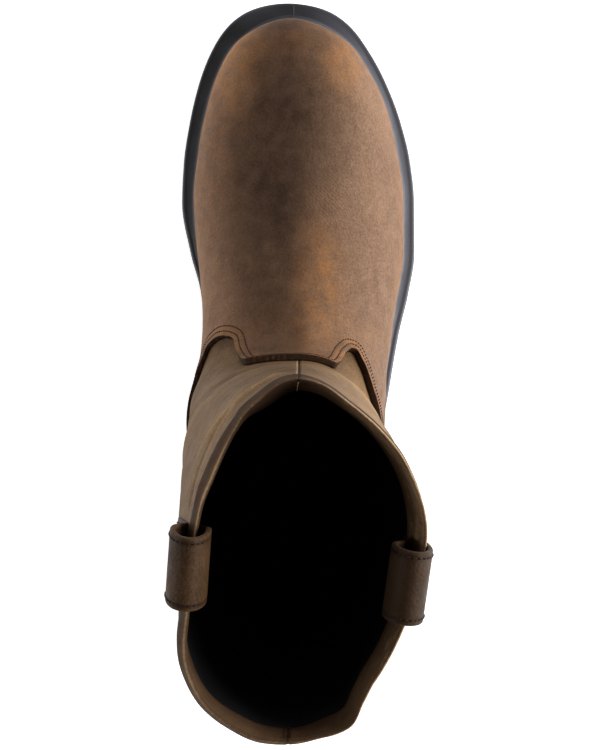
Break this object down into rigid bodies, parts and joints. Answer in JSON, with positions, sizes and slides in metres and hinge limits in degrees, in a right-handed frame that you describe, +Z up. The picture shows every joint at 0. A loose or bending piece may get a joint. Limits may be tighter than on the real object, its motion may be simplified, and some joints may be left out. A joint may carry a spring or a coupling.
{
  "type": "pull-on work boot",
  "caption": "Right pull-on work boot with a brown leather shaft and foot, a cut vamp overlay, leather pull loops and a lugged rubber sole.",
  "frame": {"origin": "on the floor under the middle of the boot's box", "axes": "+Y from the heel to the toe, +X to the lateral side, +Z up"},
  "size_m": [0.1149, 0.3198, 0.3021],
  "materials": {
    "tread_rubber": "matte charcoal",
    "rim_rubber": "satin charcoal",
    "footbed": "matte",
    "shaft_leather": "matte oiled",
    "vamp_leather": "matte oiled, rubbed at the sides",
    "strap_leather": "satin"
  },
  "bodies": {
    "root": {"outsole": "tread_rubber", "midsole": "rim_rubber", "insole": "footbed", "upper": "shaft_leather", "vamp": "vamp_leather", "pull_loop_medial": "strap_leather", "pull_loop_lateral": "strap_leather"}
  },
  "joints": []
}
